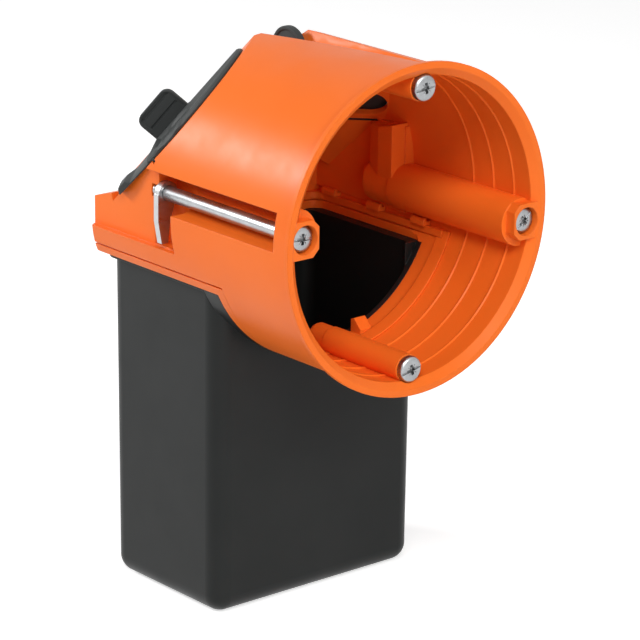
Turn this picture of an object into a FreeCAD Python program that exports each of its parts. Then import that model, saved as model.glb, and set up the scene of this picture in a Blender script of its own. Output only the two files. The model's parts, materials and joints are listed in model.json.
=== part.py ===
import FreeCAD, Part
import math
import os
import Sketcher

# Deep cavity wall box for a 68 mm hole: a round orange device tube that opens to the front (-Y),
# a hipped back with soft cable seals, and a black equipment pocket that hangs below and behind it.
# Frame: millimetres, +Z up, origin at the centre of the front rim's face, the body runs to +Y.

# name, value: every driving size once; heights below the tube's axis are given as drops
DIMENSIONS = [
    # Tube, rim and guide ridges
    ("tube_radius", 34.0), ("wall", 1.5), ("body_depth", 70.5), ("corner_round", 4.0),
    ("rim_step", 1.5), ("rim_depth", 1.0), ("rim_flare", 1.5), ("rim_ring", 1.4), ("lead_depth", 1.4),
    ("ridge_first", 6.5), ("ridge_pitch", 6.35), ("ridge_height", 0.3), ("ridge_width", 0.7),
    # Hipped back
    ("roof_reach", 71.7), ("roof_lean", 35.9), ("hip_reach", 50.2), ("hip_yaw", 45.6), ("hip_tilt", 39.6),
    ("eave_front", 64.2), ("eave_drop", 0.5), ("eave_slope", 17.0),
    ("hip_hole_radius", 3.9), ("hip_hole_near", 15.0), ("hip_hole_far", 24.0), ("hip_hole_rise", -22.5),
    ("clip_slot_rise", -28.4), ("clip_slot_near", 11.2), ("clip_slot_far", 26.0), ("clip_slot_width", 0.7),
    # Claw channels and bays, measured inward from the tube's outside
    ("claw_inset", 3.3), ("claw_turn", 6.3), ("claw_hole_radius", 1.7), ("claw_head_bore", 3.1),
    ("head_seat", 2.9), ("claw_boss_front", 0.3), ("claw_boss_up", 3.95), ("claw_boss_in", 3.55),
    ("claw_boss_chamfer", 1.6), ("channel_front", 6.4), ("channel_radius", 4.05), ("channel_inset", 3.1),
    ("channel_rise", 4.1), ("flat_inset", 2.6), ("flat_rise", 8.15), ("flat_drop", 8.5), ("flat_run", 1.5),
    ("claw_bay_front", 40.2), ("claw_bay_length", 3.8), ("claw_bay_inset", 6.7), ("claw_bay_wall", 1.0),
    ("claw_shelf_inset", 5.6), ("claw_shelf_length", 3.2), ("claw_bay_crown", 2.4), ("tail_bore", 1.6),
    # Device screw bosses
    ("device_inset", 4.0), ("device_turn", 2.35), ("device_boss_radius", 3.05), ("device_hole_radius", 1.65),
    ("device_boss_front", 2.0), ("device_boss_top_end", 20.0), ("device_head_bore", 3.0),
    # Cable groove along the crown
    ("groove_start", 5.0), ("groove_front_x", 6.0), ("groove_swing", 5.4), ("groove_front_radius", 0.6),
    ("groove_rear_radius", 7.0), ("groove_length", 50.0), ("groove_lift", 0.3),
    # Seam, rail and latched frame
    ("seam_drop", 12.7), ("seam_gap", 0.04), ("seam_slit", 0.4), ("slit_depth", 0.9), ("slit_overlap", 1.1),
    ("arch_seam", 26.0), ("rail_height", 1.6), ("opening_inset", 4.5), ("opening_rear_wall", 2.3),
    ("opening_round", 3.0), ("band_height", 2.2), ("mouth_slit_depth", 0.7), ("collar_depth", 0.8),
    ("collar_setback", 2.5), ("arch_length", 5.7), ("lip_length", 2.0), ("lip_height", 0.5),
    ("rear_boss_gap", 0.4), ("rear_boss_round", 0.8),
    ("hook_length", 4.4), ("hook_height", 1.7), ("hook_leg", 1.0), ("hook_reach", 0.5), ("hook_neck", 0.9),
    ("hook_nose", 0.8), ("hook_chamfer", 0.7), ("hook_first", 1.6), ("hook_step", 14.9), ("hook_last", 7.0),
    ("fit_gap", 0.1),
    ("front_hook_x", 10.3), ("front_hook_size", 3.2), ("front_hook_rise", 4.4), ("front_hook_ramp", 2.2),
    # Pocket
    ("pocket_rear_step", 1.2), ("pocket_inset", 1.2), ("pocket_drop", 89.2), ("pocket_round", 4.0),
    ("pocket_wall", 1.3), ("pocket_draft", 0.25), ("pocket_lean", 0.324), ("flange_overlap", 0.3),
    ("flange_depth", 0.8),
    # Soft seals
    ("seal_thickness", 1.1), ("seal_gap", 0.05), ("seal_ring", 1.2), ("seal_ring_height", 0.6),
    ("seal_web", 0.6), ("seal_plug_depth", 0.3), ("seal_low", -41.0), ("seal_high", -1.0),
    ("seal_margin", 0.6),
    ("tab_length", 10.4), ("tab_height", 6.6), ("tab_thickness", 1.3), ("tab_round", 2.0), ("tab_low", -29.8),
    ("tab_reach", 31.0), ("tab_groove", 0.3), ("tab_groove_width", 0.6), ("tab_groove_end", 1.3),
    ("disc_radius", 5.2), ("disc_thickness", 1.6), ("disc_rim", 0.7), ("disc_rim_step", 0.35),
    ("disc_x", 4.8), ("disc_y", 48.6), ("disc_drop", 5.3),
    # Screws and claws
    ("screw_radius", 1.6), ("head_radius", 2.85), ("head_depth", 1.7), ("head_round", 0.5),
    ("claw_end_gap", 0.5), ("claw_tail_radius", 1.15), ("claw_tail_length", 2.0), ("claw_tail_gap", 0.2),
    ("device_screw_end", 18.0), ("screw_tip", 0.6),
    ("recess_depth", 1.0), ("recess_width", 0.8), ("recess_span", 3.4),
    ("claw_eye_radius", 2.5), ("claw_bore_gap", 0.05), ("claw_gap", 0.3), ("claw_thickness", 1.5),
    ("claw_leg_outside", 2.7), ("claw_leg_inside", 1.9), ("claw_tip_inside", 1.0), ("claw_leg_length", 10.4),
    ("claw_tip_length", 4.5), ("claw_tip_lean", 1.2),
]

os.makedirs("parts", exist_ok=True)
doc = FreeCAD.newDocument("BackBox")
sheet = doc.addObject("Spreadsheet::Sheet", "Sizes")
for row, (word, value) in enumerate(DIMENSIONS, start=1):
    sheet.set("A%d" % row, word)
    sheet.set("B%d" % row, str(value))
    sheet.setAlias("B%d" % row, word)
doc.recompute()


class Size:
    """A length or angle that keeps its number and the sheet formula it comes from."""

    def __init__(self, value, text):
        self.value = value
        self.text = text

    def join(self, other, sign, value):
        return Size(value, "(%s %s %s)" % (self.text, sign, other.text))

    def __add__(self, other):
        other = as_size(other)
        return self.join(other, "+", self.value + other.value)

    def __sub__(self, other):
        other = as_size(other)
        return self.join(other, "-", self.value - other.value)

    def __mul__(self, other):
        other = as_size(other)
        return self.join(other, "*", self.value * other.value)

    def __neg__(self):
        return self * -1.0

    __radd__ = __add__
    __rmul__ = __mul__


def as_size(item):
    return item if isinstance(item, Size) else Size(float(item), "(%s)" % float(item))


def sine(angle):
    return Size(math.sin(math.radians(angle.value)), "sin(%s * 1 deg)" % angle.text)


def cosine(angle):
    return Size(math.cos(math.radians(angle.value)), "cos(%s * 1 deg)" % angle.text)


class Sheet:
    """The named sizes, each bound to its cell."""


for word, value in DIMENSIONS:
    setattr(Sheet, word, Size(value, "Sizes." + word))
s = Sheet
ZERO = as_size(0)
LEFT, RIGHT = -1, 1
SIDES = ((LEFT, "left"), (RIGHT, "right"))

# Sizes that follow from others, so that one change carries through to what fits it
tube_inner = s.tube_radius - s.wall
s.rim_radius = s.tube_radius + s.rim_step
s.lead_radius = s.rim_radius - s.rim_ring
s.claw_circle = s.tube_radius - s.claw_inset
s.channel_offset = s.tube_radius - s.channel_inset
s.flat_half_width = s.tube_radius - s.flat_inset
s.claw_bay_depth = s.tube_radius - s.claw_bay_inset
s.claw_bay_shelf = s.tube_radius - s.claw_shelf_inset
s.claw_bay_rear = s.claw_bay_front + s.claw_bay_length
s.claw_bay_end = s.claw_bay_rear + s.claw_shelf_length
s.flat_start = s.claw_bay_end + s.flat_run
s.claw_screw_end = s.claw_bay_end + s.claw_tail_gap + s.claw_tail_length
s.claw_front = s.claw_bay_end - s.claw_gap - s.claw_thickness
s.device_circle = s.tube_radius - s.device_inset
s.disc_z = s.tube_radius - s.disc_drop
s.band_drop = s.seam_drop + s.band_height
s.pocket_front = s.arch_seam + s.arch_length
s.lip_front = s.arch_seam - s.lip_length
s.collar_front = s.arch_seam + s.collar_setback
s.collar_seat = s.tube_radius - s.collar_depth
s.rear_boss_end = s.pocket_front - s.rear_boss_gap
s.opening_half_width = s.tube_radius - s.opening_inset
s.opening_rear = s.body_depth - s.opening_rear_wall
s.slit_half_width = s.opening_half_width + s.slit_overlap
s.flange_half_width = s.opening_half_width + s.flange_overlap
s.pocket_half_width = s.opening_half_width - s.pocket_inset
s.pocket_rear = s.body_depth - s.pocket_rear_step


# Building blocks


def bind(item, **sizes):
    for name, size in sizes.items():
        item.setExpression(name, as_size(size).text)
    return item


def place(item, x=0, y=0, z=0, yaw=0, pitch=0, roll=0):
    parts = tuple(as_size(value).text for value in (x, y, z, yaw, pitch, roll))
    text = "create(<<placement>>; create(<<vector>>; %s; %s; %s); create(<<rotation>>; %s; %s; %s))"
    item.setExpression("Placement", text % parts)
    return item


def block(name, x, y, z):
    """A box between two limits on each axis, in either order."""
    spans = [sorted((as_size(a), as_size(b)), key=lambda size: size.value) for a, b in (x, y, z)]
    item = doc.addObject("Part::Box", name)
    bind(item, Length=spans[0][1] - spans[0][0], Width=spans[1][1] - spans[1][0],
         Height=spans[2][1] - spans[2][0])
    return place(item, spans[0][0], spans[1][0], spans[2][0])


def rod(name, radius, y, x=0, z=0):
    """A round bar along the tube's axis between two depths."""
    item = bind(doc.addObject("Part::Cylinder", name), Radius=radius, Height=as_size(y[1]) - y[0])
    return place(item, x, y[0], z, roll=-90)


def fuse(name, *items):
    item = doc.addObject("Part::MultiFuse", name)
    item.Shapes = list(items)
    return item


def common(name, *items):
    item = doc.addObject("Part::MultiCommon", name)
    item.Shapes = list(items)
    return item


def cut(name, base, *tools):
    item = doc.addObject("Part::Cut", name)
    item.Base = base
    item.Tool = tools[0] if len(tools) == 1 else fuse(name + "_tools", *tools)
    return item


def mirror(name, source):
    item = doc.addObject("Part::Mirroring", name)
    item.Source = source
    item.Normal = (1, 0, 0)
    return item


def sketch_on(body, name, role, lift=None):
    """A sketch on one of the body's origin planes, lifted along the plane's normal if asked."""
    sketch = body.newObject("Sketcher::SketchObject", name)
    plane = [item for item in body.Origin.OriginFeatures if item.Role == role][0]
    sketch.AttachmentSupport = [(plane, "")]
    sketch.MapMode = "FlatFace"
    if lift is not None:
        sketch.setExpression("AttachmentOffset.Base.z", as_size(lift).text)
    return sketch


def pin(sketch, kind, line, end, size):
    """Holds one end of a line at a named distance from the sketch's origin."""
    size = as_size(size)
    if size.value == 0:
        axis = -2 if kind == "DistanceX" else -1
        sketch.addConstraint(Sketcher.Constraint("PointOnObject", line, end, axis))
        return
    number = sketch.addConstraint(Sketcher.Constraint(kind, -1, 1, line, end, size.value))
    sketch.setExpression("Constraints[%d]" % number, size.text)


def outline(sketch, points):
    """A closed outline of straight lines through named points."""
    points = [(as_size(x), as_size(y)) for x, y in points]
    corners = [FreeCAD.Vector(x.value, y.value, 0) for x, y in points]
    lines = [sketch.addGeometry(Part.LineSegment(a, b)) for a, b in zip(corners, corners[1:] + corners[:1])]
    for here, following in zip(lines, lines[1:] + lines[:1]):
        sketch.addConstraint(Sketcher.Constraint("Coincident", here, 2, following, 1))
    for line, (x, y) in zip(lines, points):
        pin(sketch, "DistanceX", line, 1, x)
        pin(sketch, "DistanceY", line, 1, y)


def new_body(name):
    return doc.addObject("PartDesign::Body", name)


def turned(name, points):
    """A solid turned about the tube's axis from a profile of radius and depth."""
    body = new_body(name)
    profile = sketch_on(body, name + "_profile", "XY_Plane")
    outline(profile, points)
    feature = body.newObject("PartDesign::Revolution", name + "_turn")
    feature.Profile = profile
    feature.ReferenceAxis = (profile, ["V_Axis"])
    feature.Angle = 360.0
    return body


def prism(name, role, points, low, high):
    """An outline in one of the body's planes, padded between two levels along its normal."""
    body = new_body(name)
    profile = sketch_on(body, name + "_profile", role, low)
    outline(profile, points)
    feature = body.newObject("PartDesign::Pad", name + "_pad")
    feature.Profile = profile
    bind(feature, Length=as_size(high) - low)
    return body


def rounded_prism(name, half_width, front, rear, rounding, low, high, draft=None):
    """An upright prism with a rectangular plan and rounded corners."""
    body = prism(name, "XY_Plane", [(-half_width, front), (half_width, front), (half_width, rear),
                                    (-half_width, rear)], low, high)
    pad = body.Tip
    if draft is not None:
        bind(pad, TaperAngle=draft)
    doc.recompute()
    edges = ["Edge%d" % number for number, edge in enumerate(pad.Shape.Edges, start=1)
             if abs(edge.tangentAt(edge.FirstParameter).z) > 0.9]
    feature = body.newObject("PartDesign::Fillet", name + "_corners")
    feature.Base = (pad, edges)
    bind(feature, Radius=rounding)
    return body


# The tube with its hipped back


def roof(name, inset):
    """What lies outside the sloping middle of the back, set in by a wall if asked."""
    item = bind(doc.addObject("Part::Box", name), Length=160, Width=60, Height=160)
    drop = inset * cosine(s.roof_lean)
    return place(item, -80, s.roof_reach - 60 * sine(s.roof_lean) * -1 - drop,
                 -60 * cosine(s.roof_lean) - inset * sine(s.roof_lean), roll=s.roof_lean)


def hip_frame(item, along, up, out, turn=0):
    """Places a piece in the left hip's own axes: along and up the facet, and out of it."""
    yaw, tilt = s.hip_yaw, s.hip_tilt
    reach = s.hip_reach + out
    x = along * cosine(yaw) - reach * cosine(tilt) * sine(yaw) + up * sine(tilt) * sine(yaw)
    y = along * sine(yaw) + reach * cosine(tilt) * cosine(yaw) - up * sine(tilt) * cosine(yaw)
    z = reach * sine(tilt) + up * cosine(tilt)
    return place(item, x, y, z, yaw=yaw, roll=tilt + turn)


def hip(name, inset):
    """What lies outside the left hip facet."""
    item = bind(doc.addObject("Part::Box", name), Length=160, Width=60, Height=160)
    return hip_frame(item, as_size(-80), as_size(-80), -as_size(inset))


def hipped(name, solid, inset):
    """Cuts the sloping middle and both hips; the hips stop at the low eave of the rear corners."""
    eave = bind(doc.addObject("Part::Box", name + "_eave"), Length=160, Width=60, Height=60)
    place(eave, -80, s.eave_front + inset - 60 * sine(s.eave_slope),
          -s.eave_drop - inset - 60 * cosine(s.eave_slope), roll=-s.eave_slope)
    left = cut(name + "_left", hip(name + "_left_hip", inset), eave)
    return cut(name, solid, roof(name + "_middle", inset), left, mirror(name + "_right", left))


plan = rounded_prism("plan", s.tube_radius, as_size(-30), s.body_depth, s.corner_round, -60, 60)
tube = common("tube", rod("tube_round", s.tube_radius, (ZERO, s.body_depth)), plan)
outer = hipped("outer", tube, ZERO)
rim = turned("rim", [(0, 0), (s.rim_radius, 0), (s.rim_radius, s.rim_depth),
                     (s.tube_radius, s.rim_depth + s.rim_flare), (0, s.rim_depth + s.rim_flare)])

bore_profile = [(0, -1), (s.lead_radius, -1), (s.lead_radius, 0), (tube_inner, s.lead_depth)]
for number in range(3):
    ridge = s.ridge_first + number * s.ridge_pitch
    bore_profile += [(tube_inner, ridge - 0.5 * s.ridge_width), (tube_inner - s.ridge_height, ridge),
                     (tube_inner, ridge + 0.5 * s.ridge_width)]
bore_profile += [(tube_inner, s.body_depth - s.wall), (0, s.body_depth - s.wall)]
bore = turned("bore", bore_profile)
inner_plan = rounded_prism("inner_plan", s.tube_radius + 5, as_size(-30), s.body_depth - s.wall,
                           s.corner_round - s.wall, -60, 60)
inner = hipped("inner", common("inner_round", bore, inner_plan), s.wall)
shell = cut("shell", fuse("outer_and_rim", outer, rim), inner)


# Screw positions: the device screws stand top and bottom, the claw screws left and right


def claw_point(side):
    return side * s.claw_circle * cosine(s.claw_turn), -side * s.claw_circle * sine(s.claw_turn)


def device_point(side):
    return side * s.device_circle * sine(s.device_turn), side * s.device_circle * cosine(s.device_turn)


def flat_wall(name, side, shift):
    """What lies outside the flat on the tube's side, behind the channel."""
    return block(name, (side * (s.flat_half_width - shift), side * (s.tube_radius + 6)),
                 (s.claw_bay_front - shift, s.body_depth + 5), (-s.flat_drop - shift, s.flat_rise + shift))


def claw_bay(name, side, shift, crown):
    """The deeper bay in which the claw rests: square where the claw points, round at the screw."""
    x, z = claw_point(side)
    deep, shelf = side * (s.claw_bay_depth - shift), side * (s.claw_bay_shelf - shift)
    edge, flat = side * (s.tube_radius + 6), side * (s.flat_half_width - shift)
    front, rear = s.claw_bay_front - shift, s.flat_start + 0.6 * as_size(shift)
    middle, far = -side * s.channel_rise, side * (s.flat_rise + shift)
    peak = side * (s.flat_rise + crown)
    low, high = (middle, peak) if side == RIGHT else (peak, middle)
    plan_view = prism(name + "_plan", "XY_Plane", [
        (edge, front), (deep, front), (deep, s.claw_bay_rear - 0.2 * as_size(shift)),
        (shelf, s.claw_bay_end + 0.4 * as_size(shift)), (flat, rear), (edge, rear)], low, high)
    side_view = prism(name + "_end", "YZ_Plane", [
        (front - 1, middle), (rear + 1, middle), (rear + 1, far), (s.claw_bay_rear, far), (front - 1,
                                                                                           peak)], -50, 50)
    wide = rod(name + "_round", s.channel_radius + shift, (s.claw_bay_front - 1,
                                                           s.claw_bay_end + 0.2 + shift),
               side * s.channel_offset, middle)
    tail = rod(name + "_tail", s.tail_bore + shift, (s.claw_bay_end,
                                                     s.claw_screw_end + s.claw_end_gap + shift), x, z)
    return [common(name + "_square", plan_view, side_view), wide, tail]


liners, recesses = [], []
for side, word in SIDES:
    x, z = claw_point(side)
    channel_x = side * s.channel_offset
    channel_z = -side * s.channel_rise
    boss_low, boss_high = z - s.claw_boss_up, z + s.claw_boss_up
    boss_in, boss_out = x - side * s.claw_boss_in, x + side * s.claw_boss_in
    chamfer_in, chamfer_out = boss_in + side * s.claw_boss_chamfer, boss_out - side * s.claw_boss_chamfer
    liners.append(prism("claw_boss_" + word, "XZ_Plane", [
        (boss_in, boss_low + s.claw_boss_chamfer), (chamfer_in, boss_low), (boss_out, boss_low),
        (boss_out, boss_high), (chamfer_in, boss_high), (boss_in, boss_high - s.claw_boss_chamfer)],
        -s.channel_front, -s.claw_boss_front))
    liners.append(rod("channel_liner_" + word, s.channel_radius + s.wall - 0.3,
                      (s.head_seat, s.claw_bay_front), channel_x, channel_z))
    liners.append(flat_wall("flat_liner_" + word, side, s.wall - 0.1))
    liners += claw_bay("bay_liner_" + word, side, s.claw_bay_wall, s.claw_bay_crown)
    recesses.append(flat_wall("flat_recess_" + word, side, ZERO))
    recesses += claw_bay("bay_" + word, side, ZERO, ZERO)
    recesses.append(rod("channel_" + word, s.channel_radius, (s.channel_front, s.claw_bay_front + 1),
                        channel_x, channel_z))
    recesses.append(block("channel_mouth_" + word, (channel_x, side * (s.tube_radius + 6)),
                          (s.channel_front, s.claw_bay_front + 1),
                          (channel_z - s.channel_radius, channel_z + s.channel_radius)))
    recesses.append(rod("claw_hole_" + word, s.claw_hole_radius, (ZERO, s.channel_front + 1), x, z))
    recesses.append(rod("claw_head_bore_" + word, s.claw_head_bore, (as_size(-1), s.head_seat), x, z))

top_x, top_z = device_point(RIGHT)
low_x, low_z = device_point(LEFT)
liners.append(rod("device_boss_top", s.device_boss_radius, (s.device_boss_front, s.device_boss_top_end),
                  top_x, top_z))
liners.append(rod("device_boss_low", s.device_boss_radius, (s.device_boss_front, s.arch_seam), low_x, low_z))
recesses.append(rod("device_hole_top", s.device_hole_radius, (ZERO, s.device_boss_top_end + 1), top_x, top_z))
recesses.append(rod("device_hole_low", s.device_hole_radius, (ZERO, s.arch_seam + 1), low_x, low_z))
for word, x, z in (("top", top_x, top_z), ("low", low_x, low_z)):
    recesses.append(rod("device_head_bore_" + word, s.device_head_bore, (as_size(-1),
                                                                         s.device_boss_front), x, z))


def groove(name, spread):
    """The tapered cable groove along the crown of the tube, fading out behind the rim."""
    item = bind(doc.addObject("Part::Cone", name), Radius1=s.groove_front_radius + spread,
                Radius2=s.groove_rear_radius + spread, Height=s.groove_length)
    return place(item, s.groove_front_x, s.groove_start, s.tube_radius + s.groove_lift,
                 yaw=s.groove_swing, roll=-90)


liners.append(groove("groove_liner", s.wall))
recesses.append(groove("groove_cut", ZERO))

# The rail on which the pocket's frame is latched
rail_ring = cut("rail_ring", block("rail_slab", (-40, 40), (s.arch_seam, s.body_depth - 1),
                                   (-s.seam_drop, s.rail_height - s.seam_drop)),
                rounded_prism("rail_opening", s.opening_half_width, s.arch_seam - 20, s.opening_rear,
                              s.opening_round, -60, 60))
liners.append(rail_ring)

hook_front, hook_rear = s.pocket_front + s.hook_first, s.body_depth - s.hook_last
HOOK_PLACES = (hook_front, hook_front + s.hook_step, hook_rear)
rail_top = s.rail_height - s.seam_drop
leg_inside = s.opening_half_width + s.hook_reach
leg_outside = leg_inside + s.hook_leg
leg_top = rail_top + s.hook_neck
for side, word in SIDES:
    for number, middle in enumerate(HOOK_PLACES, start=1):
        half = 0.5 * s.hook_length + s.fit_gap
        recesses.append(block("hook_slot_%s_%d" % (word, number),
                              (side * (leg_inside - s.fit_gap), side * (leg_outside + s.fit_gap)),
                              (middle - half, middle + half), (-s.seam_drop - 1, leg_top + s.fit_gap)))
recesses.append(block("below_seam", (-60, 60), (s.arch_seam, s.body_depth + 10), (-60, -s.seam_drop)))


def hip_slot(name, radius, low, high):
    """The round-ended cable opening through the left hip, between two levels out of the facet."""
    near = bind(doc.addObject("Part::Cylinder", name + "_near"), Radius=radius, Height=high - low)
    far = bind(doc.addObject("Part::Cylinder", name + "_far"), Radius=radius, Height=high - low)
    middle = bind(doc.addObject("Part::Box", name + "_middle"), Length=s.hip_hole_far - s.hip_hole_near,
                  Width=high - low, Height=2 * radius)
    for item, along in ((near, s.hip_hole_near), (far, s.hip_hole_far)):
        hip_frame(item, along, s.hip_hole_rise, low, turn=-90)
    hip_frame(middle, s.hip_hole_near, s.hip_hole_rise - radius, low)
    return fuse(name, near, far, middle)


hip_hole = hip_slot("hip_hole", s.hip_hole_radius, -s.wall - 1, as_size(4))


def clip_strip(name, grow, low, high):
    """The narrow slot under the cable opening, through which the seal's fin is clipped."""
    item = bind(doc.addObject("Part::Box", name), Length=s.clip_slot_far - s.clip_slot_near + 2 * grow,
                Width=as_size(high) - low, Height=s.clip_slot_width + 2 * grow)
    return hip_frame(item, s.clip_slot_near - grow, s.clip_slot_rise - 0.5 * s.clip_slot_width - grow,
                     as_size(low))


clip_slot = clip_strip("clip_slot", s.seal_gap, -s.wall - 1, as_size(4))
recesses += [hip_hole, mirror("hip_hole_right", hip_hole), clip_slot, mirror("clip_slot_right", clip_slot)]


def disc_plate(name, radius, thickness, shift=0):
    """A round plate standing across the crown groove, facing sideways."""
    item = bind(doc.addObject("Part::Cylinder", name), Radius=radius, Height=thickness)
    return place(item, s.disc_x - 0.5 * as_size(thickness) + shift, s.disc_y, s.disc_z, pitch=90)


recesses.append(disc_plate("disc_slot", s.disc_radius + s.seal_gap, s.disc_thickness + 2 * s.seal_gap))

lined = fuse("lined", shell, common("liners", fuse("liner_set", *liners), outer))
housing = cut("housing", lined, *recesses)


# The latched frame under the seam: a band round the pocket's mouth and an arch behind the tube

frame_top = -s.seam_drop - s.seam_gap
arch_front = s.arch_seam + s.seam_gap
band = block("band", (-60, 60), (arch_front, s.body_depth + 5), (-s.band_drop, frame_top))
arch = block("arch", (-60, 60), (arch_front, s.pocket_front), (-60, frame_top))
frame_blank = common("frame_blank", tube, fuse("band_and_arch", band, arch))
frame_opening = rounded_prism("frame_opening", s.opening_half_width, s.pocket_front, s.opening_rear,
                              s.opening_round, -60, 60)
frame_bore = rod("frame_bore", tube_inner, (ZERO, s.pocket_front + 4))
collar_ring = cut("collar_ring", rod("collar_outside", s.tube_radius + 5, (s.collar_front,
                                                                           s.pocket_front + 1)),
                  rod("collar_inside", s.collar_seat, (s.collar_front - 1, s.pocket_front + 2)))
collar_zone = block("collar_zone", (-60, 60), (s.collar_front - 2, s.pocket_front + 2), (-60, -s.band_drop))
slit_core = rounded_prism("slit_core", s.slit_half_width, as_size(20), s.body_depth - s.slit_depth,
                          s.corner_round, -60, 60)
slit = cut("slit", block("slit_slab", (-60, 60), (s.arch_seam - 1, s.body_depth + 5),
                         (-s.seam_drop - s.seam_slit, 0)), slit_core)
mouth_slit = common("mouth_slit", block("mouth_slit_slab", (-60, 60), (s.pocket_front - 1, s.body_depth),
                                        (-s.seam_drop - s.seam_slit, 0)),
                    rounded_prism("mouth_slit_core", s.opening_half_width + s.mouth_slit_depth,
                                  s.pocket_front,
                                  s.opening_rear + s.mouth_slit_depth, s.opening_round, -60, 60))
frame_ring = cut("frame_ring", frame_blank, frame_opening, frame_bore,
                 common("collar_seat", collar_ring, collar_zone), slit, mouth_slit)

# A thin lip that centres the arch inside the tube, cleared round the screw boss
lip_ring = cut("lip_ring", rod("lip_outside", tube_inner - s.fit_gap, (s.lip_front, arch_front + 1)),
               rod("lip_inside", tube_inner - s.lip_height, (s.lip_front - 1, arch_front + 2)))
lip_foot = cut("lip_foot", rod("lip_foot_outside", tube_inner + 0.5, (arch_front, arch_front + 1.5)),
               rod("lip_foot_inside", tube_inner - s.lip_height, (s.lip_front, arch_front + 3)))
lip_zone = block("lip_zone", (-60, 60), (s.lip_front - 1, s.arch_seam - 0.1), (-60, rail_top))
lip = fuse("lip", common("lip_low", fuse("lip_rings", lip_ring, lip_foot),
                         block("lip_low_zone", (-60, 60), (s.lip_front - 1, arch_front + 4), (-60,
                                                                                              frame_top))),
           common("lip_high", lip_ring, lip_zone))
boss_clear = rod("boss_clear", s.device_boss_radius + s.fit_gap, (s.lip_front - 1, s.arch_seam + s.seam_gap),
                 low_x, low_z)

# The rear half of the bottom screw boss
rear_boss_radius = s.device_boss_radius - 0.2
rear_boss_body = place(turned("rear_boss_body", [
    (0, arch_front), (rear_boss_radius, arch_front), (rear_boss_radius, s.rear_boss_end - s.rear_boss_round),
    (rear_boss_radius - 0.3 * s.rear_boss_round, s.rear_boss_end - 0.3 * s.rear_boss_round),
    (rear_boss_radius - s.rear_boss_round, s.rear_boss_end), (0, s.rear_boss_end)]), low_x, 0, low_z)
rear_boss = common("rear_boss", rear_boss_body, rod("rear_boss_limit", s.collar_seat, (ZERO, as_size(60))))
rear_hole = rod("rear_hole", s.device_hole_radius, (s.arch_seam - 1, s.rear_boss_end - 2), low_x, low_z)

# Snap hooks that pass through the rail and bear on its top with a rounded nose
head_inside = leg_inside - s.hook_nose - s.hook_reach
head_outside = leg_inside - 3 * s.fit_gap
head_low = rail_top + s.seam_gap


def snap_hook(name, side, middle):
    top = rail_top + s.hook_height
    points = [(leg_inside, frame_top - 0.8), (leg_outside, frame_top - 0.8), (leg_outside, leg_top),
              (head_outside, leg_top), (head_outside, top - 0.2 * s.hook_chamfer),
              (head_outside - 0.2 * s.hook_chamfer, top), (head_inside + 0.6 * s.hook_chamfer, top),
              (head_inside, top - s.hook_chamfer), (head_inside, head_low), (leg_inside, head_low)]
    return prism(name, "XZ_Plane", [(side * x, z) for x, z in points],
                 -(middle + 0.5 * s.hook_length), -(middle - 0.5 * s.hook_length))


hooks = [snap_hook("hook_%s_%d" % (word, number), side, middle)
         for side, word in SIDES for number, middle in enumerate(HOOK_PLACES, start=1)]


def front_hook(name, side):
    """A ramped catch on the arch, beside the bottom boss."""
    rear = s.pocket_front - s.seam_gap
    foot = -tube_inner
    points = [(rear - s.front_hook_size, foot), (rear, foot), (rear, foot + s.front_hook_rise - 0.4),
              (rear - 0.3 * s.front_hook_size, foot + s.front_hook_rise),
              (rear - s.front_hook_size, foot + s.front_hook_ramp)]
    middle = side * s.front_hook_x
    return prism(name, "YZ_Plane", points, middle - 0.5 * s.front_hook_size, middle + 0.5 * s.front_hook_size)


front_hooks = common("front_hooks", fuse("front_hook_pair", *[front_hook("front_hook_" + word, side)
                                                              for side, word in SIDES]),
                     rod("front_hook_limit", tube_inner + 0.3, (ZERO, as_size(60))))
pocket_frame = cut("pocket_frame", fuse("frame_parts", frame_ring, cut("lip_cleared", lip, boss_clear),
                                        rear_boss,
                                        front_hooks, *hooks), rear_hole)


# The black equipment pocket: a drafted tray hung from the frame, its front wall cut to the tube's arch


def tray(name, inset, low, high):
    """A drafted block with rounded corners and a rounded bottom, set in all round if asked."""
    half = s.pocket_half_width - s.pocket_lean - inset
    rounding = s.pocket_round - inset
    body = rounded_prism(name, half, s.pocket_front + s.pocket_lean + inset,
                         s.pocket_rear - s.pocket_lean - inset,
                         rounding, low, high, draft=s.pocket_draft)
    doc.recompute()
    corners = body.Tip
    bottom = min(corners.Shape.Faces, key=lambda face: face.CenterOfMass.z)
    edges = ["Edge%d" % number for number, edge in enumerate(corners.Shape.Edges, start=1)
             if any(edge.isSame(other) for other in bottom.Edges)]
    feature = body.newObject("PartDesign::Fillet", name + "_bottom")
    feature.Base = (corners, edges)
    bind(feature, Radius=rounding)
    return body


pocket_top = -s.band_drop - s.seam_gap
flange = fuse("flange", rounded_prism("flange_rear", s.flange_half_width, s.pocket_front + s.seam_gap,
                                      s.body_depth - 0.7, s.corner_round, pocket_top - s.flange_depth,
                                      pocket_top),
              block("flange_front", (-s.flange_half_width, s.flange_half_width),
                    (s.pocket_front + s.seam_gap, s.pocket_front + 2 * s.corner_round),
                    (pocket_top - s.flange_depth, pocket_top)))
wall_rear = s.pocket_front + s.pocket_wall + s.pocket_lean
hoop = turned("hoop", [
    (s.collar_seat + s.seam_gap, s.collar_front + s.seam_gap), (s.tube_radius, s.collar_front + s.seam_gap),
    (s.tube_radius, wall_rear), (tube_inner, wall_rear), (tube_inner, s.pocket_front + s.seam_gap),
    (s.collar_seat + s.seam_gap, s.pocket_front + s.seam_gap)])
collar = common("collar", hoop, block("collar_limit", (-60, 60), (s.collar_front - 1, s.pocket_front + 5),
                                      (-60, pocket_top)))
tray_outside = tray("tray_outside", ZERO, -s.pocket_drop, pocket_top)
tray_inside = tray("tray_inside", s.pocket_wall, s.pocket_wall - s.pocket_drop, as_size(-10))
arch_opening = rod("arch_opening", tube_inner, (s.pocket_front - 5, wall_rear))
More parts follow.
